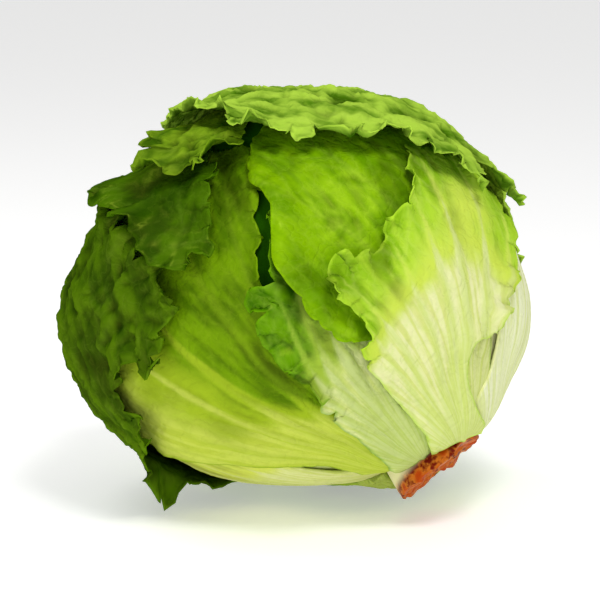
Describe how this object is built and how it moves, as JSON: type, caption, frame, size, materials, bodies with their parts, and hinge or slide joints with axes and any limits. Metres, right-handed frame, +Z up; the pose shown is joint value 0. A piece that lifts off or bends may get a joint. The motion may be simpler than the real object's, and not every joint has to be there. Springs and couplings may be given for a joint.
{
  "type": "iceberg lettuce",
  "caption": "Whole head of iceberg lettuce lying on its side, with overlapping frilled wrapper leaves and a cut stem.",
  "frame": {"origin": "centre of the head's outline seen from above, on the surface that it lies on", "axes": "+Z up; +X along the head's greatest width, to the side that the cut stem points to; the cut stem points to +X, -Y and down"},
  "size_m": [0.171, 0.1634, 0.1483],
  "materials": {
    "stem": "moist cut plant tissue, browned",
    "heart": "pale leaf, satin",
    "leaf_right_inner": "waxy leaf, satin",
    "leaf_under": "waxy leaf, satin",
    "leaf_back_inner": "waxy leaf, satin",
    "leaf_left_ribbed": "waxy leaf, satin",
    "leaf_front": "waxy leaf, satin",
    "leaf_front_upper": "waxy leaf, satin",
    "leaf_front_pale": "waxy leaf, satin",
    "leaf_right_outer": "waxy leaf, satin",
    "leaf_back_outer": "waxy leaf, satin",
    "leaf_left_lower": "waxy leaf, satin",
    "leaf_left_middle": "waxy leaf, satin",
    "leaf_crown_left": "waxy leaf, satin",
    "leaf_crown": "waxy leaf, satin"
  },
  "bodies": {
    "root": {"stem": "stem", "heart": "heart", "leaf_right_inner": "leaf_right_inner", "leaf_under": "leaf_under", "leaf_back_inner": "leaf_back_inner", "leaf_left_ribbed": "leaf_left_ribbed", "leaf_front": "leaf_front", "leaf_front_upper": "leaf_front_upper", "leaf_front_pale": "leaf_front_pale", "leaf_right_outer": "leaf_right_outer", "leaf_back_outer": "leaf_back_outer", "leaf_left_lower": "leaf_left_lower", "leaf_left_middle": "leaf_left_middle", "leaf_crown_left": "leaf_crown_left", "leaf_crown": "leaf_crown"}
  },
  "joints": []
}
